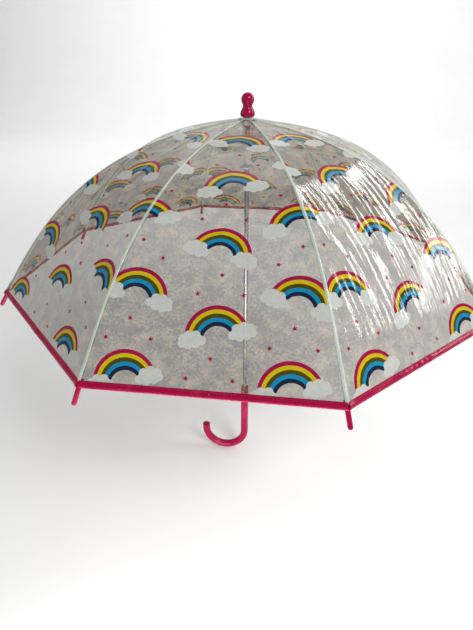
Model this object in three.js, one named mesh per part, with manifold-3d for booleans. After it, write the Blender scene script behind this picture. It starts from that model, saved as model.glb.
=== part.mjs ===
// A child's dome umbrella: a clear film canopy on eight bending ribs, a sliding runner with
// eight stretchers, a steel shaft, a ball finial and a crook handle.
// Millimetres, +Z up. The origin is on the shaft's axis, at the middle of the hand grip.
// The canopy stands open. A gore's middle faces -Y, and the crook turns towards -X.

import * as THREE from 'three';
import { mergeVertices } from 'three/addons/utils/BufferGeometryUtils.js';
import Module from 'manifold-3d';

const wasm = await Module();
wasm.setup();

// ---------------------------------------------------------------- driving dimensions

const RIB_COUNT = 8;
const PITCH = (2 * Math.PI) / RIB_COUNT;
const RIM_Z = 297;            // plane of the eight hem corners, above the grip
const CLEARANCE = 0.3;        // between pieces that touch
const BEYOND = 1;             // how far a cutting shape runs past what it cuts
const ROUND_SIDES = 32;       // sides of the larger round pieces
const SMALL_SIDES = 24;       // and of the smaller ones

// Canopy. The slope along a rib grows from the top to the hem, so the dome bends in as it falls.
const APEX_Z = RIM_Z + 233;
const RIB_ARC = 455.5;        // top of the film to a hem corner, along a rib
const TOP_SLOPE = 8;          // degrees below level
const HEM_SLOPE = 56;
const FILM_THICKNESS = 1;
const FILM_TO_RIB = 2.6;      // middle of the film to the axis of a rib
const FILM_START = 7.5;       // arc at the film's hole round the shaft
const FILM_STATIONS = 13;
const SEAM_GAP = 0.35;        // a film panel to the plane of its rib
const TIP_GAP = 3.7;          // the same, beside the end cap of a rib
const TIP_GAP_ARC = 14;

// Ribs. A rib is a springy rod, cut here into three lengths that turn at two knees.
const RIB_RADIUS = 1.5;
const RIB_START = 9.5;        // arc at the wire that carries the rib
const KNEE_ARCS = [160, 308];
const KNEE_GAP = 0.7;         // from a knee to the end of each length
const RIB_TAIL = 6;           // past the hem corner, inside the end cap
const ROD_SIDES = 8;
const ROD_STEPS = 5;
const EYE_RADIUS = 1.7;
const EYE_WIDTH = 2.8;
const EYE_HOLE = 0.85;
const WIRE_RADIUS = 0.5;

// Clip that carries the outer end of a stretcher.
const CLIP_ARC = 152;
const CLIP_LENGTH = 9;
const CLIP_RADIUS = 1.75;
const CLIP_DROP = 4.4;        // axis of the rib to the clip's pivot
const EAR_WIDTH = 2.6;
const EAR_RADIUS = 1.7;

// Stretchers lie beside their ribs, so that they pass them as the canopy folds.
const STRETCHER_OFFSET = 2.8;
const STRETCHER_WIDTH = 1.8;
const STRETCHER_HALF_HEIGHT = 1.6;
const STRETCHER_HOLE = 0.95;
const RIVET_RADIUS = 1.3;
const RIVET_HEIGHT = 0.8;
const RIVET_SIDE_GAP = 0.2;   // from the flat side of a clip's ear to the side cut off its sleeve
const TIP_SIDES = 16;

// Shaft, finial and handle.
const SHAFT_RADIUS = 3.5;
const SHAFT_BORE = 2.9;
const SHAFT_TOP = RIM_Z + 243;
const BORE_RADIUS = SHAFT_RADIUS + CLEARANCE;
const HANDLE_RADIUS = 7;
const HANDLE_TOP = RIM_Z - 242;
const HANDLE_SOCKET = 42;
const HANDLE_MOUTH = 5.6;     // radius of the chamfer at the socket's mouth
const HANDLE_MOUTH_DEPTH = 3;
const HANDLE_STEPS = 44;
const SHAFT_BOTTOM = HANDLE_TOP - 40;
const CROOK_Z = RIM_Z - 352;  // where the grip starts to bend
const CROOK_RADIUS = 38.5;
const CROOK_RISE = 9.5;
const PLUG_RADIUS = 4.6;
const PLUG_DEPTH = 4;
const PLUG_DOME = 0.7;        // how far the plug stands out of the crook
const FINIAL_BOTTOM = RIM_Z + 234.4;
const BALL_RADIUS = 9.2;
const BALL_Z = RIM_Z + 256.6;

// Top notch.
const NOTCH_RADIUS = 12;
const NOTCH_HUB = 6.4;
const NOTCH_BOTTOM = RIM_Z + 223.5;
const NOTCH_SLOT = 3.8;

// Runner.
const RUNNER_WIRE_Z = RIM_Z + 197.5;
const RUNNER_WIRE_RING = 10;
const CROWN_RADIUS = 11.8;
const CROWN_HUB = 7.4;
const CROWN_SLOT = 2.6;
const RUNNER_TUBE = 5.2;
const RUNNER_FLANGE = 10.5;
const RUNNER_BOTTOM = RIM_Z + 163.5;
const KEYWAY_WIDTH = 2.8;
const KEYWAY_REACH = 5.6;

// Catches: flat springs inside the shaft, with a nose that stands out of a slot.
const CATCH_WIDTH = 1.8;
const TOP_CATCH_Z = RUNNER_BOTTOM - 0.4;
const BOTTOM_CATCH_Z = RIM_Z - 66;
const STOP_PIN_Z = RIM_Z + 203.5;
const STOP_PIN_RADIUS = 0.8;

// ---------------------------------------------------------------- materials

const finish = (color, roughness, metalness, opacity = 1) => new THREE.MeshStandardMaterial({
  color, roughness, metalness, opacity, transparent: opacity < 1,
});

const PINK = finish(0xc8134f, 0.22, 0);
const CLEAR_FILM = finish(0xd9d8d2, 0.12, 0, 0.35);
const MINT_ROD = finish(0xc9d6cb, 0.4, 0);
const MILKY = finish(0xe6e2e6, 0.35, 0);
const STEEL = finish(0x8b8d90, 0.3, 0.9);

// ---------------------------------------------------------------- helpers

const rad = THREE.MathUtils.degToRad;
const umbrella = new THREE.Group();

function addMesh(parent, name, geometry, material) {
  const mesh = new THREE.Mesh(geometry, material);
  mesh.name = name;
  parent.add(mesh);
}

// A group whose X axis points away from the shaft, at the azimuth given.
function radialGroup(azimuth) {
  const group = new THREE.Group();
  group.rotation.z = azimuth;
  umbrella.add(group);
  return group;
}

const ribAzimuth = (index) => -Math.PI / 2 - PITCH / 2 + index * PITCH;
const goreAzimuth = (index) => ribAzimuth(index) + PITCH / 2;

function toSolid(geometry) {
  const bare = geometry.clone();
  bare.deleteAttribute('normal');
  bare.deleteAttribute('uv');
  const merged = mergeVertices(bare, 1e-4);
  const vertProperties = new Float32Array(merged.attributes.position.array);
  const triVerts = new Uint32Array(merged.index.array);
  return new wasm.Manifold(new wasm.Mesh({ numProp: 3, vertProperties, triVerts }));
}

function toGeometry(solid) {
  const mesh = solid.getMesh();
  const geometry = new THREE.BufferGeometry();
  geometry.setAttribute('position', new THREE.BufferAttribute(mesh.vertProperties, 3));
  geometry.setIndex(new THREE.BufferAttribute(mesh.triVerts, 1));
  geometry.computeVertexNormals();
  return geometry;
}

// Joins all the shapes in `added` and takes away all those in `removed`.
function build(added, removed = []) {
  const joined = added.map(toSolid).reduce((a, b) => a.add(b));
  return toGeometry(removed.map(toSolid).reduce((a, b) => a.subtract(b), joined));
}

// A solid of revolution about Z. The profile runs up the outside; a ring's comes back down inside.
function turned(profile, sides) {
  const points = profile.map(([r, z]) => new THREE.Vector2(r, z));
  if (points[0].x > 0) points.push(points[0].clone());
  return new THREE.LatheGeometry(points, sides).rotateX(Math.PI / 2);
}

const ring = (inner, outer, low, high, sides) => turned(
  [[inner, low], [outer, low], [outer, high], [inner, high]], sides,
);

const disc = (radius, low, high, sides) => turned(
  [[0, low], [radius, low], [radius, high], [0, high]], sides,
);

function box(lowX, highX, lowY, highY, lowZ, highZ) {
  const geometry = new THREE.BoxGeometry(highX - lowX, highY - lowY, highZ - lowZ);
  return geometry.translate((lowX + highX) / 2, (lowY + highY) / 2, (lowZ + highZ) / 2);
}

// A short round bar along Y, from lowY to highY, at (x, z).
function crossBar(radius, lowY, highY, x, z, sides = 8) {
  const bar = new THREE.CylinderGeometry(radius, radius, highY - lowY, sides);
  return bar.translate(x, (lowY + highY) / 2, z);
}

function rod(curve, radius, sides, steps) {
  const section = new THREE.Shape();
  for (let i = 0; i < sides; i += 1) {
    const angle = (2 * Math.PI * i) / sides;
    const x = radius * Math.cos(angle);
    const y = radius * Math.sin(angle);
    if (i === 0) section.moveTo(x, y);
    else section.lineTo(x, y);
  }
  section.closePath();
  return new THREE.ExtrudeGeometry(section, { extrudePath: curve, steps });
}

// A flat bar with round ends in the XZ plane, from (0, 0) to (length, 0), centred on y = 0.
function linkBar(length, halfHeight, width, holes) {
  const outline = new THREE.Shape();
  outline.absarc(0, 0, halfHeight, Math.PI / 2, (3 * Math.PI) / 2);
  outline.absarc(length, 0, halfHeight, -Math.PI / 2, Math.PI / 2);
  outline.closePath();
  for (const [x, radius] of holes) {
    const hole = new THREE.Path();
    hole.absarc(x, 0, radius, 0, 2 * Math.PI);
    outline.holes.push(hole);
  }
  const plate = new THREE.ExtrudeGeometry(outline, {
    depth: width, bevelEnabled: false, curveSegments: 4,
  });
  return plate.translate(0, 0, -width / 2).rotateX(Math.PI / 2);
}

// ---------------------------------------------------------------- the dome's curve

function slopeAt(arc) {
  const t = THREE.MathUtils.clamp(arc / RIB_ARC, 0, 1);
  return rad(TOP_SLOPE + (HEM_SLOPE - TOP_SLOPE) * t * t * (3 - 2 * t));
}

// The middle of the film above a rib, as distance from the shaft's axis and height.
function filmPoint(arc) {
  const steps = Math.max(1, Math.ceil(arc / 2));
  const step = arc / steps;
  const point = { r: 0, z: APEX_Z };
  for (let i = 0; i < steps; i += 1) {
    const slope = slopeAt((i + 0.5) * step);
    point.r += Math.cos(slope) * step;
    point.z -= Math.sin(slope) * step;
  }
  return point;
}

// The axis of a rib, or a line `drop` below it.
function ribPoint(arc, drop = 0) {
  const film = filmPoint(arc);
  const inward = FILM_TO_RIB + drop;
  const slope = slopeAt(arc);
  return { r: film.r - inward * Math.sin(slope), z: film.z - inward * Math.cos(slope) };
}

class RibCurve extends THREE.Curve {
  constructor(from, to) {
    super();
    this.from = from;
    this.to = to;
  }

  getPoint(t) {
    const { r, z } = ribPoint(THREE.MathUtils.lerp(this.from, this.to, t));
    return new THREE.Vector3(r, 0, z);
  }
}

const NOTCH_WIRE = ribPoint(RIB_START);
const CLIP_PIVOT = ribPoint(CLIP_ARC, CLIP_DROP);
const STRETCHER_PIVOT_R = Math.sqrt(RUNNER_WIRE_RING ** 2 - STRETCHER_OFFSET ** 2);

// ---------------------------------------------------------------- ribs, caps and stretchers

function innerRib() {
  const { r, z } = NOTCH_WIRE;
  const half = EYE_WIDTH / 2;
  const sleeve = rod(
    new RibCurve(CLIP_ARC - CLIP_LENGTH / 2, CLIP_ARC + CLIP_LENGTH / 2), CLIP_RADIUS, ROD_SIDES, 1,
  );
  const ear = linkBar(CLIP_DROP, EAR_RADIUS, EAR_WIDTH, []);
  ear.rotateY(Math.PI / 2 + slopeAt(CLIP_ARC));
  const top = ribPoint(CLIP_ARC);
  ear.translate(top.r, 0, top.z);
  const boss = crossBar(
    RIVET_RADIUS, -EAR_WIDTH / 2 - RIVET_HEIGHT, 0, CLIP_PIVOT.r, CLIP_PIVOT.z,
  );
  const cutFrom = EAR_WIDTH / 2 + RIVET_SIDE_GAP;
  const flatSide = box(0, RIB_ARC, cutFrom, cutFrom + CLIP_LENGTH, RIM_Z, APEX_Z);
  return build(
    [
      rod(new RibCurve(RIB_START, KNEE_ARCS[0] - KNEE_GAP), RIB_RADIUS, ROD_SIDES, ROD_STEPS),
      crossBar(EYE_RADIUS, -half, half, r, z),
      sleeve, ear, boss,
    ],
    [crossBar(EYE_HOLE, -half - BEYOND, half + BEYOND, r, z), flatSide],
  );
}

const middleRib = () => rod(
  new RibCurve(KNEE_ARCS[0] + KNEE_GAP, KNEE_ARCS[1] - KNEE_GAP), RIB_RADIUS, ROD_SIDES, ROD_STEPS,
);

const outerRib = () => rod(
  new RibCurve(KNEE_ARCS[1] + KNEE_GAP, RIB_ARC + RIB_TAIL), RIB_RADIUS, ROD_SIDES, ROD_STEPS,
);

// The moulded cap on the end of a rib: a blind socket above and a rounded toe below.
function ribTip() {
  const profile = [
    [0, -20], [1.9, -19.5], [2.9, -17.6], [2.9, 7], [3.1, 8.5], [2.8, 10], [2.2, 10], [2.2, -9],
    [0, -9],
  ];
  const corner = ribPoint(RIB_ARC);
  const cap = turned(profile, TIP_SIDES);
  return cap.rotateY(-Math.PI / 2 + slopeAt(RIB_ARC)).translate(corner.r, 0, corner.z);
}

function stretcher() {
  const reach = CLIP_PIVOT.r - STRETCHER_PIVOT_R;
  const fall = RUNNER_WIRE_Z - CLIP_PIVOT.z;
  const length = Math.hypot(reach, fall);
  const bar = linkBar(length, STRETCHER_HALF_HEIGHT, STRETCHER_WIDTH, [[0, STRETCHER_HOLE]]);
  const face = STRETCHER_WIDTH / 2;
  const head = crossBar(RIVET_RADIUS, 0, face + RIVET_HEIGHT, length, 0);
  return build([bar, head])
    .rotateY(Math.atan2(fall, reach))
    .translate(STRETCHER_PIVOT_R, STRETCHER_OFFSET, RUNNER_WIRE_Z);
}

function addRibs() {
  for (let i = 0; i < RIB_COUNT; i += 1) {
    const group = radialGroup(ribAzimuth(i));
    const number = i + 1;
    addMesh(group, `rib_${number}_inner`, innerRib(), MINT_ROD);
    addMesh(group, `rib_${number}_middle`, middleRib(), MINT_ROD);
    addMesh(group, `rib_${number}_outer`, outerRib(), MINT_ROD);
    addMesh(group, `rib_tip_${number}`, ribTip(), PINK);
    addMesh(group, `stretcher_${number}`, stretcher(), MINT_ROD);
  }
}

// ---------------------------------------------------------------- canopy

// One film panel between two ribs. Across the panel it is straight; along it, it follows the ribs.
function gore() {
  const positions = [];
  const half = PITCH / 2;
  for (let i = 0; i < FILM_STATIONS; i += 1) {
    const arc = THREE.MathUtils.lerp(FILM_START, RIB_ARC, i / (FILM_STATIONS - 1));
    const { r, z } = filmPoint(arc);
    const tilt = Math.atan(Math.tan(slopeAt(arc)) / Math.cos(half));
    const gap = arc > RIB_ARC - TIP_GAP_ARC ? TIP_GAP : SEAM_GAP;
    for (const side of [0.5, -0.5]) {
      const x = r * Math.cos(half) + side * FILM_THICKNESS * Math.sin(tilt);
      const height = z + side * FILM_THICKNESS * Math.cos(tilt);
      const y = x * Math.tan(half) - gap / Math.cos(half);
      positions.push(x, y, height, x, -y, height);
    }
  }
  // Each station has four corners: outside left and right, then inside left and right.
  const index = [];
  const quad = (a, b, c, d) => index.push(a, c, b, a, d, c);
  const loop = [0, 2, 3, 1];
  for (let i = 0; i < FILM_STATIONS - 1; i += 1) {
    const here = 4 * i;
    const next = here + 4;
    loop.forEach((corner, k) => {
      const other = loop[(k + 1) % 4];
      quad(here + corner, here + other, next + other, next + corner);
    });
  }
  const last = 4 * (FILM_STATIONS - 1);
  quad(0, 1, 3, 2);
  quad(last, last + 2, last + 3, last + 1);
  const geometry = new THREE.BufferGeometry();
  geometry.setAttribute('position', new THREE.Float32BufferAttribute(positions, 3));
  geometry.setIndex(index);
  return geometry;
}

function addCanopy() {
  for (let i = 0; i < RIB_COUNT; i += 1) {
    addMesh(radialGroup(goreAzimuth(i)), `gore_${i + 1}`, gore(), CLEAR_FILM);
  }
}

// ---------------------------------------------------------------- top: notch, collar and finial

const WIRE_GROOVE = 0.8;      // half the width of the groove that a wire lies in
const NOTCH_RIM = 0.9;        // the notch's top face above its wire

// A wire ring, lying in the groove of the notch or of the runner's crown.
function wireRing(radius, z) {
  return new THREE.TorusGeometry(radius, WIRE_RADIUS, 5, 24).translate(0, 0, z);
}

function topNotch() {
  const { r, z } = NOTCH_WIRE;
  const top = z + NOTCH_RIM;
  const slots = [];
  for (let i = 0; i < RIB_COUNT; i += 1) {
    const width = NOTCH_SLOT / 2;
    const slot = box(
      NOTCH_HUB, NOTCH_RADIUS + BEYOND, -width, width, NOTCH_BOTTOM - BEYOND, top + BEYOND,
    );
    slots.push(slot.rotateZ(ribAzimuth(i)));
  }
  const body = ring(BORE_RADIUS, NOTCH_RADIUS, NOTCH_BOTTOM, top, ROUND_SIDES);
  const groove = ring(
    r - WIRE_GROOVE, r + WIRE_GROOVE, z - WIRE_GROOVE, top + BEYOND, ROUND_SIDES,
  );
  return build([body], [groove, ...slots]);
}

// The collar that clamps the film's centre between the notch and the finial.
function canopyCap() {
  const low = NOTCH_WIRE.z + NOTCH_RIM + 0.35;
  const high = FINIAL_BOTTOM - 0.4;
  return turned([
    [BORE_RADIUS, low], [6.6, low], [6.6, high - 0.4], [6.2, high], [BORE_RADIUS, high],
  ], SMALL_SIDES);
}

// A skirted base, a waist and a ball, pressed over the top of the shaft.
function finial() {
  const profile = [
    [0, 0], [8.8, 0], [9.7, 0.5], [10.3, 1.6], [10.5, 3.2], [10.3, 5.2], [9.8, 7], [8.9, 8.8],
    [7.9, 10.2], [7.2, 11.5], [6.8, 13], [6.8, 14.4],
  ].map(([r, z]) => [r, FINIAL_BOTTOM + z]);
  for (let degrees = -40; degrees < 90; degrees += 10) {
    const angle = rad(degrees);
    profile.push([BALL_RADIUS * Math.cos(angle), BALL_Z + BALL_RADIUS * Math.sin(angle)]);
  }
  profile.push([0, BALL_Z + BALL_RADIUS]);
  const bore = disc(BORE_RADIUS, FINIAL_BOTTOM - BEYOND, SHAFT_TOP + 1, SMALL_SIDES);
  return build([turned(profile, ROUND_SIDES)], [bore]);
}

// ---------------------------------------------------------------- shaft and its catches

// A leaf inside the shaft with a nose: its flat edge at height 0, and its slope on the leaf's side.
function springCatch(noseZ, direction) {
  const at = (y, along) => new THREE.Vector2(y, along * direction);
  const outline = new THREE.Shape([
    at(1.2, -26), at(2.3, -26), at(2.3, -9), at(5, -1.2), at(5, 0), at(2.3, 0), at(2.3, 3),
    at(1.2, 3),
  ]);
  const leaf = new THREE.ExtrudeGeometry(outline, { depth: CATCH_WIDTH, bevelEnabled: false });
  // The outline's first axis becomes Y, its second Z, and its thickness lies along X.
  leaf.translate(0, 0, -CATCH_WIDTH / 2).rotateX(Math.PI / 2).rotateZ(Math.PI / 2);
  return leaf.translate(0, 0, noseZ);
}

function shaft() {
  const slotHalf = CATCH_WIDTH / 2 + 0.4;
  const topSlot = box(-slotHalf, slotHalf, 1, 5, TOP_CATCH_Z - 10, TOP_CATCH_Z + 0.8);
  const lowSlot = box(-slotHalf, slotHalf, 1, 5, BOTTOM_CATCH_Z - 0.8, BOTTOM_CATCH_Z + 10);
  const pinHole = crossBar(STOP_PIN_RADIUS + CLEARANCE, -6, 6, 0, STOP_PIN_Z).rotateZ(Math.PI / 2);
  return build([ring(SHAFT_BORE, SHAFT_RADIUS, SHAFT_BOTTOM, SHAFT_TOP, SMALL_SIDES)], [
    topSlot, lowSlot, pinHole,
  ]);
}

function stopPin() {
  return crossBar(STOP_PIN_RADIUS, -4.8, 4.8, 0, STOP_PIN_Z).rotateZ(Math.PI / 2);
}

// ---------------------------------------------------------------- runner

// A slotted crown for the stretchers, a thin sleeve to push, and a flange that the fingers pull.
function runner() {
  const crownTop = RUNNER_WIRE_Z + 1.9;
  const crownBottom = RUNNER_WIRE_Z - 3;
  const body = turned([
    [BORE_RADIUS, RUNNER_BOTTOM], [9.7, RUNNER_BOTTOM], [RUNNER_FLANGE, RUNNER_BOTTOM + 0.8],
    [RUNNER_FLANGE, RUNNER_BOTTOM + 1.8], [9.7, RUNNER_BOTTOM + 2.6], [6.2, RUNNER_BOTTOM + 3.2],
    [RUNNER_TUBE, RUNNER_BOTTOM + 5], [RUNNER_TUBE, crownBottom - 4.5], [6, crownBottom - 2.4],
    [8.4, crownBottom - 1], [CROWN_RADIUS, crownBottom], [CROWN_RADIUS, crownTop],
    [BORE_RADIUS, crownTop],
  ], ROUND_SIDES);
  const cuts = [];
  for (let i = 0; i < RIB_COUNT; i += 1) {
    const low = STRETCHER_OFFSET - CROWN_SLOT / 2;
    const high = STRETCHER_OFFSET + CROWN_SLOT / 2;
    const slot = box(
      CROWN_HUB, CROWN_RADIUS + BEYOND, low, high, crownBottom - 6, crownTop + BEYOND,
    );
    cuts.push(slot.rotateZ(ribAzimuth(i)));
  }
  cuts.push(ring(
    RUNNER_WIRE_RING - WIRE_GROOVE, RUNNER_WIRE_RING + WIRE_GROOVE,
    RUNNER_WIRE_Z - WIRE_GROOVE, crownTop + BEYOND, ROUND_SIDES,
  ));
  cuts.push(box(
    -KEYWAY_WIDTH / 2, KEYWAY_WIDTH / 2, 0, KEYWAY_REACH, RUNNER_BOTTOM - BEYOND, crownTop + BEYOND,
  ));
  return build([body], cuts);
}

// ---------------------------------------------------------------- handle

// Down the grip, round the crook and a little way up again, measured by length.
class HandleCurve extends THREE.Curve {
  getPoint(t) {
    const straight = HANDLE_TOP - CROOK_Z;
    const bend = Math.PI * CROOK_RADIUS;
    const along = t * (straight + bend + CROOK_RISE);
    if (along < straight) return new THREE.Vector3(0, 0, HANDLE_TOP - along);
    if (along < straight + bend) {
      const angle = (along - straight) / CROOK_RADIUS;
      return new THREE.Vector3(
        -CROOK_RADIUS * (1 - Math.cos(angle)), 0, CROOK_Z - CROOK_RADIUS * Math.sin(angle),
      );
    }
    return new THREE.Vector3(-2 * CROOK_RADIUS, 0, CROOK_Z + along - straight - bend);
  }
}

function handle() {
  const cutTop = HANDLE_TOP + BEYOND;
  const socket = disc(BORE_RADIUS, HANDLE_TOP - HANDLE_SOCKET, cutTop, SMALL_SIDES);
  const mouthBottom = HANDLE_TOP - HANDLE_MOUTH_DEPTH;
  const mouth = turned([
    [0, mouthBottom], [BORE_RADIUS, mouthBottom], [HANDLE_MOUTH, HANDLE_TOP],
    [HANDLE_MOUTH, cutTop], [0, cutTop],
  ], SMALL_SIDES);
  const end = CROOK_Z + CROOK_RISE;
  const recess = disc(
    PLUG_RADIUS + CLEARANCE, end - PLUG_DEPTH - CLEARANCE, end + BEYOND, SMALL_SIDES,
  );
  recess.translate(-2 * CROOK_RADIUS, 0, 0);
  const grip = rod(new HandleCurve(), HANDLE_RADIUS, ROUND_SIDES, HANDLE_STEPS);
  return build([grip], [socket, mouth, recess]);
}

// The plug that closes the open end of the crook.
function handlePlug() {
  const end = CROOK_Z + CROOK_RISE;
  const edge = end + PLUG_DOME - 0.5;
  const plug = turned([
    [0, end - PLUG_DEPTH], [PLUG_RADIUS, end - PLUG_DEPTH], [PLUG_RADIUS, edge],
    [PLUG_RADIUS - 0.8, end + PLUG_DOME], [0, end + PLUG_DOME],
  ], SMALL_SIDES);
  return plug.translate(-2 * CROOK_RADIUS, 0, 0);
}

// ---------------------------------------------------------------- assembly

addMesh(umbrella, 'shaft', shaft(), STEEL);
addMesh(umbrella, 'stop_pin', stopPin(), STEEL);
addMesh(umbrella, 'top_catch', springCatch(TOP_CATCH_Z, 1), STEEL);
addMesh(umbrella, 'bottom_catch', springCatch(BOTTOM_CATCH_Z, -1), STEEL);
addMesh(umbrella, 'handle', handle(), PINK);
addMesh(umbrella, 'handle_plug', handlePlug(), PINK);
addMesh(umbrella, 'top_notch', topNotch(), MILKY);
addMesh(umbrella, 'notch_wire', wireRing(NOTCH_WIRE.r, NOTCH_WIRE.z), STEEL);
addMesh(umbrella, 'canopy_cap', canopyCap(), MILKY);
addMesh(umbrella, 'finial', finial(), PINK);
addMesh(umbrella, 'runner', runner(), MILKY);
addMesh(umbrella, 'runner_wire', wireRing(RUNNER_WIRE_RING, RUNNER_WIRE_Z), STEEL);
addRibs();
addCanopy();

export default umbrella;
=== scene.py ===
"""Looks of a child's dome umbrella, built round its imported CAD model. Metres, +Z up."""
import math

import bmesh
import bpy
import numpy as np
from mathutils import Matrix, Vector
from mathutils.geometry import delaunay_2d_cdt


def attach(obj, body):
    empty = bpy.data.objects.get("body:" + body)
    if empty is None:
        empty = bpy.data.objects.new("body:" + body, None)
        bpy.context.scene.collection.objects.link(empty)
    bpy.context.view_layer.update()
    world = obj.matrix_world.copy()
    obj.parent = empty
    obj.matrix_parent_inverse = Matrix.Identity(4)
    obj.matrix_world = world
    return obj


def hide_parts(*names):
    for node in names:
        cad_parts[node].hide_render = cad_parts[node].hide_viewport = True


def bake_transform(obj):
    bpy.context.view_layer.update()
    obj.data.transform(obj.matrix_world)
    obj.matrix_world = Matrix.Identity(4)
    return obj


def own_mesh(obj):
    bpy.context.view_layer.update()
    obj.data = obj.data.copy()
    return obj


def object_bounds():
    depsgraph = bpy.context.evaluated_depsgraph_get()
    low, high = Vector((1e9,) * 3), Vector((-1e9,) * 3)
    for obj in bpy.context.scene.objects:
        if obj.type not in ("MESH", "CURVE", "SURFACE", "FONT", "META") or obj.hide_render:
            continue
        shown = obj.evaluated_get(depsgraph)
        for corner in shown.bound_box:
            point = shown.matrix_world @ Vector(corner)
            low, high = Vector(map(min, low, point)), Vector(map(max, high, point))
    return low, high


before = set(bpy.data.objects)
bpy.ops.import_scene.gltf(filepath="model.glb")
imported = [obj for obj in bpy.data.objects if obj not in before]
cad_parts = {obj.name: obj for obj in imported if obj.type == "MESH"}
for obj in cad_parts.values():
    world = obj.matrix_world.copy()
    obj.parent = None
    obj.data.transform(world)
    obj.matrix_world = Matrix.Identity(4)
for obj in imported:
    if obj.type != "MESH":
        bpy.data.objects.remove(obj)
CAD_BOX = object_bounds()
FLOOR_Z = CAD_BOX[0].z

# ---------------------------------------------------------------- dimensions, as in the CAD model

MM = 0.001                    # print, binding and fittings are drawn in millimetres
RIBS = 8
PITCH = 2 * math.pi / RIBS
HALF = PITCH / 2
APEX_Z = 0.530
RIB_ARC = 0.4555              # top of the film to a hem corner, along a rib
TOP_SLOPE = math.radians(8)
HEM_SLOPE = math.radians(56)
FILM_START = 0.0075
FILM_TO_RIB = 0.0026
RIB_RADIUS = 0.0015
RIB_START = 0.0095
RIB_END = RIB_ARC + 0.006
KNEES = (0.160, 0.308)
CLIP_ARC = 0.152
CLIP_LENGTH = 0.009
CLIP_DROP = 0.0044

# ---------------------------------------------------------------- film, hem and print

GRIDS = (0.004, 0.0026, 0.004, 0.004, 0.004, 0.004, 0.004, 0.004)  # spacing of each gore's mesh
SEAM_HALF_WIDTH = 0.0022
HEM_WIDTH = 0.008
HEM_STEP = 0.0018
STITCH_PITCH = 0.0036
STITCH_LENGTH = 0.0026
STITCH_FROM_EDGE = 0.0017     # below the binding's upper edge
WRINKLES = (0.00016, 0.00030, 0.00035, 0.0003, 0.0004, 0.0003, 0.00035, 0.00028)
FINE_WRINKLES = (0, 0.00030, 0, 0, 0, 0, 0, 0)

# How the film stands out of the straight surface between its ribs.
BELLY = 0.0024                # sinks this far half-way between two ribs
CREASE = 0.0008               # height of the crease down a gore's middle
CREASE_WIDE = 0.0045
LONG_WAVE = 0.036             # from crest to crest, across a gore
SHORT_WAVE = 0.019
FINE_WAVE = 0.0098
GATHERS = 0.0006              # height at the top
GATHERS_FADE = 0.016
TIP_LIFT = 0.0012             # over a rib tip
TIP_WIDE = 0.006

PARTS = {
    "inner": (FILM_START, KNEES[0]),
    "middle": (KNEES[0], KNEES[1]),
    "outer": (KNEES[1], RIB_ARC),
}

# Hem: (arc past the hem line, height off the film) round the binding's section, in millimetres.
HEM_SECTION = (
    (-8.0, 0.30), (-7.8, 0.62), (-7.1, 0.80), (-6.3, 0.42), (-5.2, 1.15), (-3.2, 1.55),
    (-1.2, 1.25), (0.2, 0.60), (0.6, 0.0), (0.2, -0.60), (-1.2, -1.25), (-3.2, -1.55),
    (-5.2, -1.15), (-6.3, -0.42), (-7.1, -0.80), (-7.8, -0.62), (-8.0, -0.30),
)
HEM_LAP = (0.013, 0.021)      # where the binding's ends overlap, from the middle of the front gore
HEM_LAP_LIFT = 0.35           # millimetres
STITCH_LIFT = 0.00048

# Print, in millimetres. A motif is a rainbow with a cloud at each foot and three stars above it.
MOTIF_WIDE = 87
MOTIF_HIGH = 92
FIRST_TOP = {0: 80, 1: 134}   # arc to the top of the first rainbow, in the middle and side columns
MOTIFS = {0: 5, 1: 4}
MOTIF_TILT = math.radians(13)
DRIFT = {0: (-1, 4), 1: (0, -3.5)}  # of a column's even and odd rainbows to the right
RAINBOW_OUTER = 34.5
RAINBOW_INNER = 16
RAINBOW_DROP = 4.2            # inner circle's centre below the outer one's
BANDS = ("crimson", "yellow", "olive", "sky", "navy")
CLOUD_AT = (27, 1.6)
CLOUD_LOBES = (
    (-10.4, -2.4, 4.9), (-5.2, 3.8, 5.2), (2.6, 5.2, 4.9), (9.0, 2.6, 4.6), (10.6, -2.8, 4.4),
    (4.4, -5.0, 4.6), (-3.6, -5.2, 4.8), (0.0, 0.0, 6.5),
)
STARS = ((0, 34), (-24.5, 11.5), (24.5, 12.5))
STAR_RADII = (3.1, 1.5)

# ---------------------------------------------------------------- the dome's surface

ARCS = np.linspace(0, 0.47, 941)


def slope_at(arc):
    t = np.clip(np.asarray(arc, float) / RIB_ARC, 0, 1)
    return TOP_SLOPE + (HEM_SLOPE - TOP_SLOPE) * t * t * (3 - 2 * t)


MID_SLOPES = slope_at((ARCS[1:] + ARCS[:-1]) / 2)
FILM_R = np.concatenate(([0], np.cumsum(np.cos(MID_SLOPES)))) * ARCS[1]
FILM_Z = APEX_Z - np.concatenate(([0], np.cumsum(np.sin(MID_SLOPES)))) * ARCS[1]


def half_width(arc):
    """Half the width of a gore at this arc."""
    return np.interp(arc, ARCS, FILM_R) * math.sin(HALF)


def rib_azimuth(index):
    return -math.pi / 2 - HALF + index * PITCH


def gore_azimuth(index):
    return rib_azimuth(index) + HALF


def rib_point(index, arc, inward=FILM_TO_RIB):
    """A point on a rib's axis, or on the film's line above it where inward is 0."""
    slope = float(slope_at(arc))
    r = float(np.interp(arc, ARCS, FILM_R)) - inward * math.sin(slope)
    z = float(np.interp(arc, ARCS, FILM_Z)) - inward * math.cos(slope)
    azimuth = rib_azimuth(index)
    return Vector((r * math.cos(azimuth), r * math.sin(azimuth), z))


def smoothstep(x, low, high):
    t = np.clip((x - low) / (high - low), 0, 1)
    return t * t * (3 - 2 * t)


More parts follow.
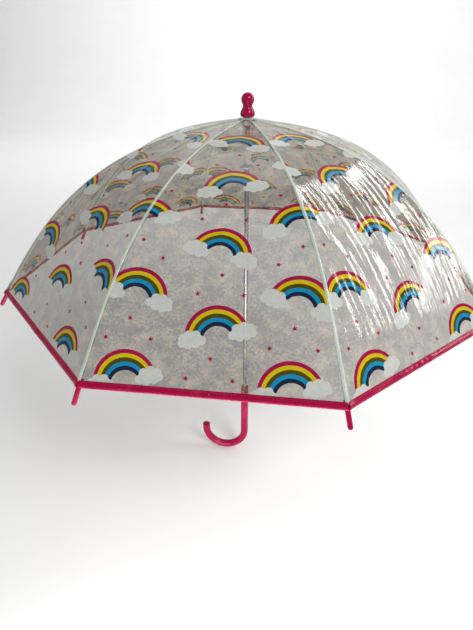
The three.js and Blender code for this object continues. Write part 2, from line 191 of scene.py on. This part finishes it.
def relief(gore, u, s):
    """How far the film stands out of the straight surface between its ribs.

    It sinks a little between the ribs, stands in a crease down the gore's middle, is gathered at the
    top and lifts over the rib tips. Long and short waves run down it, and a finer set down gore 2.
    """
    width = np.maximum(half_width(s), 1e-6)
    across = np.clip(np.abs(u) / width, 0, 1)
    free = 1 - across ** 4
    phase = 2.4 * gore
    belly = -BELLY * (1 - across ** 2) * np.sin(math.pi * s / RIB_ARC)
    crease = CREASE * np.exp(-np.abs(u) / CREASE_WIDE) * smoothstep(s, 0.03, 0.08)
    bend = 2.2 * np.sin(2 * math.pi * s / 0.26 + phase)
    long_waves = np.sin(2 * math.pi * u / LONG_WAVE + phase + bend)
    short_waves = np.sin(2 * math.pi * u / SHORT_WAVE + 2.3 * phase + 1.6 * bend)
    fading = 0.65 + 0.35 * np.sin(2 * math.pi * s / 0.19 + 1.7 * phase)
    fine_bend = 0.8 * np.sin(2 * math.pi * s / 0.21 + 9 * u) + 0.3 * np.sin(2 * math.pi * s / 0.083)
    fine_waves = np.sin(2 * math.pi * u / FINE_WAVE + fine_bend)
    waves = WRINKLES[gore] * (long_waves + 0.45 * short_waves) * fading
    waves += FINE_WRINKLES[gore] * fine_waves * (0.6 + 0.4 * np.sin(2 * math.pi * s / 0.083 + 60 * u))
    waves *= free * smoothstep(s, 0.05, 0.2) * (1 - 0.6 * smoothstep(s, 0.435, RIB_ARC))
    gathers = GATHERS * np.exp(-(s - FILM_START) / GATHERS_FADE) * np.cos(3 * math.pi * u / width) * free
    over_tip = np.exp(-(((width - np.abs(u)) / TIP_WIDE) ** 2)) * smoothstep(s, 0.427, 0.439)
    return belly + crease + waves + gathers + TIP_LIFT * over_tip


def on_gore(gore, u, s, lift=0.0):
    """Points of a gore's film. u runs across it, to the right as seen from outside, and s down it."""
    u, s = np.broadcast_arrays(np.asarray(u, float), np.asarray(s, float))
    tilt = np.arctan(np.tan(slope_at(s)) / math.cos(HALF))
    height = lift + relief(gore, u, s)
    out = np.interp(s, ARCS, FILM_R) * math.cos(HALF) + height * np.sin(tilt)
    up = np.interp(s, ARCS, FILM_Z) + height * np.cos(tilt)
    azimuth = gore_azimuth(gore)
    x = out * math.cos(azimuth) - u * math.sin(azimuth)
    y = out * math.sin(azimuth) + u * math.cos(azimuth)
    return np.stack([x, y, up], axis=-1)


# ---------------------------------------------------------------- mesh helpers


def new_object(name, vertices, faces, materials, painted=None, sharp=math.radians(40)):
    """A smooth mesh object. painted gives each face's place in the list of materials."""
    mesh = bpy.data.meshes.new(name)
    mesh.from_pydata([tuple(v) for v in vertices], [], [tuple(f) for f in faces])
    for material in materials:
        mesh.materials.append(material)
    if painted is not None:
        mesh.polygons.foreach_set("material_index", painted)
    mesh.polygons.foreach_set("use_smooth", [True] * len(mesh.polygons))
    mesh.set_sharp_from_angle(angle=sharp)
    mesh.validate()
    obj = bpy.data.objects.new(name, mesh)
    bpy.context.scene.collection.objects.link(obj)
    return obj


class Solid:
    """Vertices and faces gathered from several closed shapes."""

    def __init__(self):
        self.vertices, self.faces, self.painted = [], [], []

    def add(self, vertices, faces, paint=0):
        start = len(self.vertices)
        self.vertices += [Vector(v) for v in vertices]
        self.faces += [[start + i for i in face] for face in faces]
        self.painted += [paint] * len(faces)

    def loft(self, rings, paint=0, closed=False):
        """Joins rings of equally many points, and closes the two ends or joins them to each other."""
        count = len(rings[0])
        faces = []
        for i in range(len(rings) if closed else len(rings) - 1):
            here, following = i * count, (i + 1) % len(rings) * count
            for j in range(count):
                k = (j + 1) % count
                faces.append((here + j, here + k, following + k, following + j))
        if not closed:
            faces.append(range(count - 1, -1, -1))
            faces.append(range((len(rings) - 1) * count, len(rings) * count))
        self.add([p for ring in rings for p in ring], faces, paint)

    def lathe(self, profile, matrix, sides=24, paint=0, ring=False):
        """Turns a profile of (radius, height) about the matrix's Z axis."""
        rings = []
        for radius, height in profile:
            turn = [2 * math.pi * i / sides for i in range(sides)]
            rings.append([
                matrix @ Vector((radius * math.cos(a), radius * math.sin(a), height)) for a in turn
            ])
        self.loft(rings, paint, closed=ring)

    def made(self, name, *materials):
        """The mesh object, with every face turned outwards."""
        made = new_object(name, self.vertices, self.faces, materials, self.painted)
        mesh = bmesh.new()
        mesh.from_mesh(made.data)
        bmesh.ops.recalc_face_normals(mesh, faces=mesh.faces)
        mesh.to_mesh(made.data)
        mesh.free()
        return made


def frame_at(origin, z_axis, x_hint):
    """A matrix at origin with its Z axis along z_axis and its X axis near x_hint."""
    z = z_axis.normalized()
    y = z.cross(x_hint).normalized()
    x = y.cross(z)
    matrix = Matrix((x, y, z)).transposed().to_4x4()
    matrix.translation = origin
    return matrix


def bent_tube(points, radius, sides, x_hint):
    """Rings of a tube along points, all turned to one side hint."""
    rings = []
    for i, point in enumerate(points):
        along = points[min(i + 1, len(points) - 1)] - points[max(i - 1, 0)]
        matrix = frame_at(point, along, x_hint)
        turn = [2 * math.pi * k / sides for k in range(sides)]
        rings.append([
            matrix @ Vector((radius * math.cos(a), radius * math.sin(a), 0)) for a in turn
        ])
    return rings


# ---------------------------------------------------------------- materials


def srgb(r, g, b):
    """A colour given as 0 to 255 as it looks on a screen, in linear light."""
    def linear(c):
        c /= 255
        return c / 12.92 if c <= 0.04045 else ((c + 0.055) / 1.055) ** 2.4
    return (linear(r), linear(g), linear(b), 1)


class Material:
    """A Principled material and short ways to feed its sockets from procedural patterns."""

    def __init__(self, name, **values):
        self.material = bpy.data.materials.new(name)
        self.material.use_nodes = True
        self.tree = self.material.node_tree
        self.shader = self.tree.nodes["Principled BSDF"]
        for socket, value in values.items():
            self.shader.inputs[socket.replace("_", " ")].default_value = value
        self.bump_before = None

    def node(self, kind, **values):
        made = self.tree.nodes.new(kind)
        for socket, value in values.items():
            made.inputs[socket].default_value = value
        return made

    def link(self, source, target):
        self.tree.links.new(source, target)

    def place(self, stretch=(1, 1, 1), uv=None):
        """Coordinates on the surface, stretched."""
        if uv:
            source = self.node("ShaderNodeUVMap")
            source.uv_map = uv
            out = source.outputs["UV"]
        else:
            out = self.node("ShaderNodeTexCoord").outputs["Object"]
        mapping = self.node("ShaderNodeMapping", Scale=stretch)
        self.link(out, mapping.inputs["Vector"])
        return mapping.outputs["Vector"]

    def noise(self, place, scale, detail=3.0, roughness=0.55):
        noise = self.node(
            "ShaderNodeTexNoise", Scale=scale, Detail=detail, Roughness=roughness,
        )
        self.link(place, noise.inputs["Vector"])
        return noise.outputs["Fac"]

    def ramp(self, factor, stops):
        ramp = self.node("ShaderNodeValToRGB")
        elements = ramp.color_ramp.elements
        while len(elements) < len(stops):
            elements.new(0.5)
        for element, (position, colour) in zip(elements, stops):
            element.position = position
            element.color = colour if hasattr(colour, "__len__") else (colour,) * 3 + (1,)
        self.link(factor, ramp.inputs["Fac"])
        return ramp.outputs["Color"]

    def colour(self, factor, stops):
        self.link(self.ramp(factor, stops), self.shader.inputs["Base Color"])

    def roughness(self, factor, low, high):
        self.link(self.ramp(factor, ((0.3, low), (0.7, high))), self.shader.inputs["Roughness"])

    def bump(self, height, distance, strength=1.0):
        bump = self.node("ShaderNodeBump", Strength=strength, Distance=distance)
        self.link(height, bump.inputs["Height"])
        if self.bump_before:
            self.link(self.bump_before, bump.inputs["Normal"])
        self.bump_before = bump.outputs["Normal"]
        self.link(self.bump_before, self.shader.inputs["Normal"])


def lighter(colour, share):
    return tuple(c + (1 - c) * share for c in colour[:3]) + (1,)


def darker(colour, share):
    return tuple(c * (1 - share) for c in colour[:3]) + (1,)


def moulded(name, colour, rough=(0.16, 0.26), grain=0.00002, **values):
    """Moulded plastic: faint flow marks in its colour, a fine grain, and handling marks in its gloss."""
    made = Material(name, **values)
    place = made.place()
    flow = made.noise(made.place((1, 1, 0.35)), 38, 4)
    made.colour(flow, ((0.3, darker(colour, 0.12)), (0.55, colour), (0.8, lighter(colour, 0.05))))
    made.roughness(made.noise(place, 130, 5, 0.7), *rough)
    made.bump(made.noise(place, 900, 2), grain, 0.5)
    made.bump(made.noise(made.place((1, 1, 0.25)), 60, 2), grain * 6, 0.35)
    return made.material


def steel_material():
    made = Material("plated_steel", Metallic=1.0, IOR=2.5)
    drawn = made.noise(made.place((1, 1, 0.02)), 1400, 3)
    made.colour(drawn, ((0.3, srgb(150, 152, 156)), (0.7, srgb(196, 197, 199))))
    made.roughness(made.noise(made.place((1, 1, 0.15)), 240, 4), 0.2, 0.38)
    made.bump(drawn, 0.00002, 0.5)
    return made.material


FILM_UV = "Film"


def film_surface(made):
    """The gloss and the fine unevenness that the bare and the printed film share."""
    place = made.place(uv=FILM_UV)
    made.roughness(made.noise(place, 55, 4, 0.6), 0.05, 0.12)
    made.bump(made.noise(made.place((1, 0.16, 1), FILM_UV), 90, 4, 0.6), 0.0011, 0.5)
    made.bump(made.noise(place, 420, 2), 0.00006, 0.3)


def film_material():
    made = Material("clear_film", Alpha=0.62, IOR=1.75)
    place = made.place(uv=FILM_UV)
    # Painted shade: the film's base colour runs from near black to a grey beige, in fine and coarse
    # blotches, so that the clear film comes out as dark as the shaded floor seen through it.
    fine_shade_blotches = made.noise(place, 400, 6, 0.75)
    shade_blotches = made.node("ShaderNodeMath")
    shade_blotches.operation = "MULTIPLY_ADD"
    made.link(made.noise(place, 60, 5, 0.7), shade_blotches.inputs[0])
    shade_blotches.inputs[1].default_value = 0.7
    made.link(fine_shade_blotches, shade_blotches.inputs[2])
    made.colour(shade_blotches.outputs[0], (
        (0.78, srgb(3, 2, 0)), (0.97, srgb(158, 139, 104)),
    ))
    film_surface(made)
    return made.material


def print_material(name, colour, alpha=1.0):
    made = Material(name, Alpha=alpha, IOR=1.42)
    ink = made.noise(made.place(uv=FILM_UV), 160, 4, 0.65)
    made.colour(ink, ((0.25, darker(colour, 0.12)), (0.6, colour), (0.85, lighter(colour, 0.06))))
    film_surface(made)
    return made.material


PINK = srgb(160, 0, 64)
MATERIALS = {
    "pink": moulded("pink_gloss", PINK, rough=(0.1, 0.18), IOR=1.34),
    "hem": moulded("pink_binding", srgb(156, 0, 58), rough=(0.16, 0.3), grain=0.00005, IOR=1.32),
    "thread": moulded("pink_thread", srgb(190, 20, 72), rough=(0.5, 0.7), grain=0.00004),
    "mint": moulded("mint_rod", srgb(206, 219, 206), rough=(0.3, 0.45)),
    "milky": moulded(
        "milky_plastic", srgb(226, 222, 224), rough=(0.25, 0.4), Subsurface_Weight=0.25,
        Subsurface_Scale=0.003,
    ),
    "steel": steel_material(),
    "film": film_material(),
    "seam": moulded("welded_film", srgb(222, 236, 222), rough=(0.1, 0.2), Alpha=0.6, IOR=1.6),
    "crimson": print_material("print_crimson", srgb(152, 0, 62)),
    "yellow": print_material("print_yellow", srgb(196, 174, 0)),
    "olive": print_material("print_olive", srgb(68, 65, 0)),
    "sky": print_material("print_sky", srgb(0, 130, 172)),
    "navy": print_material("print_navy", srgb(15, 27, 54)),
    "cloud": print_material("print_cloud", srgb(187, 190, 184), 0.94),
}

# ---------------------------------------------------------------- print outlines, in millimetres


def spun(points, angle, at):
    """Points turned about the origin, then moved."""
    c, s = math.cos(angle), math.sin(angle)
    return [(at[0] + x * c - y * s, at[1] + x * s + y * c) for x, y in points]


def rainbow_band(index):
    """One band's outline, open side down, about the outer circle's centre."""
    def arc(k):
        share = k / len(BANDS)
        radius = RAINBOW_OUTER + (RAINBOW_INNER - RAINBOW_OUTER) * share
        return [
            (radius * math.cos(math.radians(a)), radius * math.sin(math.radians(a)) - RAINBOW_DROP * share)
            for a in range(-4, 185, 4)
        ]
    return arc(index) + arc(index + 1)[::-1]


def cloud():
    """The outline of the lobes together, as far as each ray from the middle leaves them."""
    points = []
    for step in range(60):
        angle = 2 * math.pi * step / 60
        ray = (math.cos(angle), math.sin(angle))
        reach = 0
        for x, y, radius in CLOUD_LOBES:
            along = x * ray[0] + y * ray[1]
            beside = x * ray[1] - y * ray[0]
            if abs(beside) < radius:
                reach = max(reach, along + math.sqrt(radius ** 2 - beside ** 2))
        points.append((reach * ray[0], reach * ray[1]))
    return points


def star():
    corners = []
    for i in range(10):
        angle = math.pi / 2 + i * math.pi / 5
        corners.append((STAR_RADII[i % 2] * math.cos(angle), STAR_RADII[i % 2] * math.sin(angle)))
    return corners


def motif(u, top, tilt):
    """(paint, outline) of one rainbow with its clouds and stars, in u and minus s."""
    centre = (u, -top - RAINBOW_OUTER)
    shapes = [(name, spun(rainbow_band(i), tilt, centre)) for i, name in enumerate(BANDS)]
    for side in (-1, 1):
        lobes = [(side * x + side * CLOUD_AT[0], y + CLOUD_AT[1]) for x, y in cloud()]
        shapes.append(("cloud", spun(lobes, tilt, centre)))
    for x, above in STARS:
        shapes.append(("crimson", spun(star(), tilt, (u + x, above - top))))
    return shapes


def gore_print():
    """The whole print of a gore, in paint order."""
    shapes = []
    for column in (-1, 0, 1):
        side = abs(column)
        for row in range(MOTIFS[side]):
            tilt = MOTIF_TILT if row % 2 else -MOTIF_TILT
            top = FIRST_TOP[side] + MOTIF_HIGH * row
            shapes += motif(column * MOTIF_WIDE + DRIFT[side][row % 2], top, tilt)
    return shapes


GORE_PRINT = gore_print()
PAINTS = ("film",) + BANDS + ("cloud",)

# ---------------------------------------------------------------- film


def counter_clockwise(points):
    doubled = sum(a[0] * b[1] - b[0] * a[1] for a, b in zip(points, points[1:] + points[:1]))
    return points if doubled > 0 else points[::-1]


def film_outline(hand, low, high, grid):
    """The flat outline of a half panel, in millimetres: from the middle, hand times its width."""
    rows = np.linspace(low, high, round((high - low) / grid) + 1)
    middle = [(0.0, -1000 * s) for s in rows]
    edge = [(hand * 1000 * half_width(s), -1000 * s) for s in rows]

    def across(s):
        width = half_width(s)
        steps = np.arange(grid, width - grid * 0.3, grid)
        return [(hand * 1000 * x, -1000 * s) for x in steps]

    return counter_clockwise(middle + across(high) + edge[::-1] + across(low)[::-1])


def film_inside(hand, low, high, grid, kept_clear):
    """Grid points inside a half panel, away from the outlines' own points."""
    found = []
    for s in np.arange(low + grid, high - grid * 0.4, grid):
        for u in np.arange(grid, half_width(s) - grid * 0.4, grid):
            found.append((hand * 1000 * u, -1000 * s))
    found = np.array(found).reshape(-1, 2)
    gaps = np.linalg.norm(found[:, None] - kept_clear[None], axis=2).min(axis=1)
    return [tuple(p) for p in found[gaps > 300 * grid]]


def film_mesh(name, gore, hand, low, high):
    """A half panel of film between two arcs, cut along the outlines of its print."""
    grid = GRIDS[gore]
    outline = film_outline(hand, low, high, grid)
    box = np.array(outline)
    lowest, highest = box.min(axis=0), box.max(axis=0)
    shapes = []
    for paint, points in GORE_PRINT:
        shape = np.array(points)
        if (shape.max(axis=0) > lowest).all() and (shape.min(axis=0) < highest).all():
            shapes.append((PAINTS.index(paint), counter_clockwise(points)))
    points, faces = [], []
    for _, shape in [(0, outline)] + shapes:
        faces.append(list(range(len(points), len(points) + len(shape))))
        points += shape
    points += film_inside(hand, low, high, grid, np.array(points))
    flat = [Vector(p) for p in points]
    corners, _, triangles, _, _, sources = delaunay_2d_cdt(flat, [], faces, 1, 1e-4)
    paint_of = [0] + [paint for paint, _ in shapes]
    kept, painted = [], []
    for triangle, found_in in zip(triangles, sources):
        if 0 in found_in:
            kept.append(triangle)
            painted.append(paint_of[max(found_in)])
    used = sorted({i for face in kept for i in face})
    renumbered = {old: new for new, old in enumerate(used)}
    flat = np.array([corners[i] for i in used]) / 1000
    placed = on_gore(gore, flat[:, 0], -flat[:, 1])
    made = new_object(
        name, placed, [[renumbered[i] for i in face] for face in kept],
        [MATERIALS[paint] for paint in PAINTS], painted, sharp=math.pi,
    )
    layer = made.data.uv_layers.new(name=FILM_UV)
    loops = np.zeros(len(made.data.loops), int)
    made.data.loops.foreach_get("vertex_index", loops)
    layer.data.foreach_set("uv", flat[loops].ravel())
    return made


def fold(piece, rib, part):
    """Attaches a half panel, or its binding, to its rib's part, on a mesh of its own."""
    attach(piece, f"rib_{rib + 1}_{part}")
    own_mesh(piece)


def half_panels():
    """(rib, toward, gore, hand) of the sixteen half panels beside the ribs."""
    for rib in range(RIBS):
        yield rib, 1, rib, -1
        yield rib, -1, (rib - 1) % RIBS, 1


def add_film():
    sides = {-1: "left", 1: "right"}
    for rib, toward, gore, hand in half_panels():
        for part, (low, high) in PARTS.items():
            name = f"film_{gore + 1}_{sides[hand]}_{part}"
            piece = film_mesh(name, gore, hand, low, high)
            if part == "inner" and hand == -1:
                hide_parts(f"gore_{gore + 1}")
            fold(piece, rib, part)


def add_seams():
    """The weld along each rib, where two panels overlap."""
    profile = ((1, 0.05), (0.75, 0.3), (0.3, 0.42), (0, 0.45))
    for rib in range(RIBS):
        before = (rib - 1) % RIBS
        for part, (low, high) in PARTS.items():
            stop = high if part != "outer" else high - HEM_WIDTH * 0.8
            rings = []
            for s in np.linspace(low, stop, round((stop - low) / 0.005) + 1):
                width = float(half_width(s))
                wide = min(SEAM_HALF_WIDTH * (0.6 + 0.4 * float(smoothstep(s, 0.05, 0.25))), width * 0.7)
                top = [on_gore(before, width - wide * d, s, h * MM) for d, h in profile]
                top += [on_gore(rib, wide * d - width, s, h * MM) for d, h in profile[-2::-1]]
                bottom = [on_gore(rib, wide * 0.9 - width, s, 0.00003)]
                bottom += [on_gore(before, width - wide * 0.9, s, 0.00003)]
                rings.append(top + bottom)
            solid = Solid()
            solid.loft(rings)
            seam = solid.made(f"seam_{rib + 1}_{part}", MATERIALS["seam"])
            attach(seam, f"rib_{rib + 1}_{part}")


def stitch(solid, gore, hand, share, s, lift, paint):
    """One short raised thread, from side to side."""
    width = float(half_width(s))
    half = STITCH_LENGTH / 2
    rings = []
    for at, size in ((-1, 0.25), (-0.7, 0.9), (0, 1), (0.7, 0.9), (1, 0.25)):
        u = hand * share * width + at * half
        ring = []
        for k in range(6):
            angle = 2 * math.pi * k / 6
            down = 0.00024 * size * math.cos(angle)
            up = 0.0002 * size * math.sin(angle)
            ring.append(on_gore(gore, u, s + down, lift + up))
        rings.append(ring)
    solid.loft(rings, paint)


def binding(gore, hand):
    """Half a panel's hem: a folded strip over the film's edge, sewn along its upper edge."""
    length = float(half_width(RIB_ARC))
    rings = []
    for share in np.linspace(0, 1, round(length / HEM_STEP) + 1):
        u = share * length
        pucker = 1 + 0.14 * math.cos(2 * math.pi * u / STITCH_PITCH)
        swell = 1 + 0.12 * math.sin(2 * math.pi * u / 0.047 + gore)
        lap = HEM_LAP_LIFT if gore == 0 and hand < 0 and HEM_LAP[0] < u < HEM_LAP[1] else 0
        ring = []
        for down, lift in HEM_SECTION:
            s = RIB_ARC + down * MM
            puffed = lift * (pucker if down > -6.5 else 1) * swell + math.copysign(lap, lift)
            ring.append(on_gore(gore, hand * share * float(half_width(s)), s, puffed * MM))
        rings.append(ring)
    solid = Solid()
    solid.loft(rings if hand < 0 else [ring[::-1] for ring in rings])
    row = RIB_ARC - HEM_WIDTH + STITCH_FROM_EDGE
    for k in range(int(length / STITCH_PITCH)):
        share = (k + 0.5) * STITCH_PITCH / length
        for lift in (STITCH_LIFT, -STITCH_LIFT):
            stitch(solid, gore, hand, share, row, lift, 1)
    return solid


def add_hem():
    sides = {-1: "left", 1: "right"}
    for rib, toward, gore, hand in half_panels():
        hem = binding(gore, hand).made(
            f"hem_{gore + 1}_{sides[hand]}", MATERIALS["hem"], MATERIALS["thread"],
        )
        fold(hem, rib, "outer")


def add_top_patch():
    """The small pleated round of film that the finial clamps over the canopy's centre."""
    pleats, steps = 24, 144
    rings = []
    for r in np.linspace(0.0040, 0.0135, 9):
        pleat_height = 0.00035 * smoothstep(r, 0.006, 0.013)
        ring = []
        for k in range(steps):
            angle = 2 * math.pi * k / steps
            slope = math.tan(TOP_SLOPE) * r
            z = APEX_Z + 0.0008 - slope + pleat_height * math.cos(pleats * angle)
            ring.append((r * math.cos(angle), r * math.sin(angle), float(z)))
        rings.append(ring)
    thickness = Vector((0, 0, 0.0003))
    under = [[Vector(p) - thickness for p in ring] for ring in rings[::-1]]
    solid = Solid()
    solid.loft(rings + under, closed=True)
    patch = solid.made("top_patch", MATERIALS["seam"])
    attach(patch, "root")


# ---------------------------------------------------------------- ribs


def rib_tube(name, rib, low, high):
    arcs = np.linspace(low, high, round((high - low) / 0.004) + 1)
    azimuth = rib_azimuth(rib)
    sideways = Vector((-math.sin(azimuth), math.cos(azimuth), 0))
    points = [rib_point(rib, s) for s in arcs]
    solid = Solid()
    solid.loft(bent_tube(points, RIB_RADIUS, 12, sideways))
    return solid.made(name, MATERIALS["mint"])


def rib_fittings(rib):
    """The eye on the notch's wire, and the clip with its ear and rivet, as one moulding."""
    azimuth = rib_azimuth(rib)
    sideways = Vector((-math.sin(azimuth), math.cos(azimuth), 0))
    solid = Solid()
    eye = frame_at(rib_point(rib, RIB_START), sideways, Vector((0, 0, 1)))
    ring = ((0.85, -1.2), (1.05, -1.4), (1.5, -1.4), (1.7, -1.2), (1.7, 1.2), (1.5, 1.4),
            (1.05, 1.4), (0.85, 1.2))
    solid.lathe([(r * MM, z * MM) for r, z in ring], eye, 20, ring=True)
    along = rib_point(rib, CLIP_ARC + 0.001) - rib_point(rib, CLIP_ARC - 0.001)
    clip = frame_at(rib_point(rib, CLIP_ARC), along, sideways)
    half = CLIP_LENGTH / 2
    solid.lathe([
        (0.0014, -half), (0.00175, -half), (0.00195, 0.0003 - half), (0.00195, half - 0.0003),
        (0.00175, half), (0.0014, half),
    ], clip, 20, ring=True)
    pivot = rib_point(rib, CLIP_ARC, FILM_TO_RIB + CLIP_DROP)
    top = rib_point(rib, CLIP_ARC)
    down = (pivot - top).normalized()
    flat = along.normalized()
    rings = []
    for beside, inset in ((-1.3, 0.25), (-1.05, 0), (1.05, 0), (1.3, 0.25)):
        radius = (1.7 - inset) * MM
        outline = []
        for step in range(13):
            angle = math.pi * step / 12
            outline.append(pivot + flat * radius * math.cos(angle) + down * radius * math.sin(angle))
        outline += [top - flat * radius, top + flat * radius]
        rings.append([p + sideways * beside * MM for p in outline])
    solid.loft(rings)
    boss = frame_at(pivot, -sideways, flat)
    head = ((1.3, 1.0), (1.3, 1.7), (1.1, 1.98), (0.6, 2.1), (0.05, 2.12))
    solid.lathe([(r * MM, z * MM) for r, z in head], boss, 20, paint=1)
    return solid.made(f"rib_fittings_{rib + 1}", MATERIALS["mint"], MATERIALS["steel"])


def add_ribs():
    halfway = (KNEES[0] + KNEES[1]) / 2
    for rib in range(RIBS):
        number = rib + 1
        upper = rib_tube(f"rib_{number}_upper", rib, RIB_START + 0.0012, halfway)
        lower = rib_tube(f"rib_{number}_lower", rib, halfway, RIB_END)
        for piece, knee, bodies in (
            (upper, KNEES[0], ("inner", "middle")), (lower, KNEES[1], ("middle", "outer")),
        ):
            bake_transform(piece)
        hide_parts(f"rib_{number}_inner", f"rib_{number}_middle")
        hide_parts(f"rib_{number}_outer")
        fittings = rib_fittings(rib)
        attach(fittings, f"rib_{number}_inner")


# ---------------------------------------------------------------- CAD nodes that stay


def keep_node(name, material, edge=0.00018):
    """A CAD node with a better material, smooth round faces and softened edges."""
    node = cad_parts[name]
    normals = node.data.attributes.get("custom_normal")
    if normals:
        node.data.attributes.remove(normals)
    node.data.polygons.foreach_set("use_smooth", [True] * len(node.data.polygons))
    node.material_slots[0].material = MATERIALS[material]
    weld = node.modifiers.new("weld", "WELD")
    weld.merge_threshold = 0.000004
    flats = node.modifiers.new("flats", "DECIMATE")
    flats.decimate_type = "DISSOLVE"
    flats.angle_limit = math.radians(0.6)
    bevel = node.modifiers.new("edges", "BEVEL")
    bevel.width = edge
    bevel.segments = 2
    bevel.limit_method = "ANGLE"
    bevel.angle_limit = math.radians(33)
    shading = node.modifiers.new("shading", "WEIGHTED_NORMAL")
    shading.keep_sharp = True


def add_cad_nodes():
    for name in ("handle", "handle_plug", "finial"):
        keep_node(name, "pink")
    for name in ("top_notch", "canopy_cap", "runner"):
        keep_node(name, "milky")
    for name in ("shaft", "stop_pin", "top_catch", "bottom_catch", "notch_wire", "runner_wire"):
        keep_node(name, "steel", 0.0001)
    for number in range(1, RIBS + 1):
        keep_node(f"rib_tip_{number}", "pink")
        keep_node(f"stretcher_{number}", "mint", 0.0003)


# ---------------------------------------------------------------- stage, lights and camera


def add_stage():
    """A pale floor that curves up far behind the umbrella."""
    made = Material("pale_stage", Roughness=0.9)
    patches = made.noise(made.place(), 3, 3)
    made.colour(patches, ((0.3, srgb(250, 250, 250)), (0.7, srgb(253, 253, 253))))
    profile = [(-6.0, FLOOR_Z), (4.0, FLOOR_Z)]
    radius = 2.0
    for step in range(1, 13):
        angle = math.pi / 2 * step / 12
        profile.append((4 + radius * math.sin(angle), FLOOR_Z + radius * (1 - math.cos(angle))))
    profile.append((6.0, 7.0))
    rows = [[(x, y, z) for y, z in profile] for x in (-9.0, 9.0)]
    count = len(profile)
    faces = [(i, i + count, i + count + 1, i + 1) for i in range(count - 1)]
    stage = new_object("stage", rows[0] + rows[1], faces, [made.material])


def add_light(name, place, target, size, watts, along=(0, 0, 1)):
    """A soft box. along is the way its longer side, the second of size, runs."""
    data = bpy.data.lights.new(name, "AREA")
    data.shape = "RECTANGLE"
    data.size, data.size_y = size
    data.energy = watts
    light = bpy.data.objects.new(name, data)
    back = Vector(place) - Vector(target)
    light.matrix_world = frame_at(Vector(place), back, Vector(along).cross(back))
    bpy.context.scene.collection.objects.link(light)


def add_lights():
    middle = (0, 0, 0.3)
    add_light("key", (1.3, -1.5, 2.0), middle, (0.9, 0.9), 40)
    add_light(
        "window", (1.45, 0.55, 1.25), (0.2, -0.2, 0.42), (0.14, 1.8), 13, along=(-0.83, 0.73, 0.62),
    )
    add_light("left", (-1.9, -0.9, 1.3), middle, (1.4, 1.6), 6)
    add_light("top", (0.1, 0.9, 2.4), middle, (1.6, 1.0), 6)
    add_light("inside", (0.05, -0.62, -0.05), (0, 0.3, 0.35), (0.6, 0.12), 3.5)
    add_light("backdrop", (0, 2.2, 3.4), (0, 6, 1.5), (5.0, 2.0), 150)
    world = bpy.data.worlds.new("studio")
    world.use_nodes = True
    background = world.node_tree.nodes["Background"]
    background.inputs["Color"].default_value = (1, 1, 1, 1)
    background.inputs["Strength"].default_value = 0.28
    bpy.context.scene.world = world


LENS = 27.04                  # millimetres, on a 36 mm sensor
CAMERA_AT = (0.0788, -0.7193, 0.6083)
CAMERA_FORWARD = Vector((-0.11427, 0.86861, -0.48215))


def add_camera():
    data = bpy.data.cameras.new("camera")
    data.lens = LENS
    data.sensor_width = 36
    camera = bpy.data.objects.new("camera", data)
    camera.location = CAMERA_AT
    camera.rotation_euler = CAMERA_FORWARD.to_track_quat("-Z", "Y").to_euler()
    bpy.context.scene.collection.objects.link(camera)
    bpy.context.scene.camera = camera
    bpy.context.scene.view_settings.view_transform = "Standard"


add_camera()
add_ribs()
add_film()
add_seams()
add_hem()
add_top_patch()
add_cad_nodes()
add_stage()
add_lights()
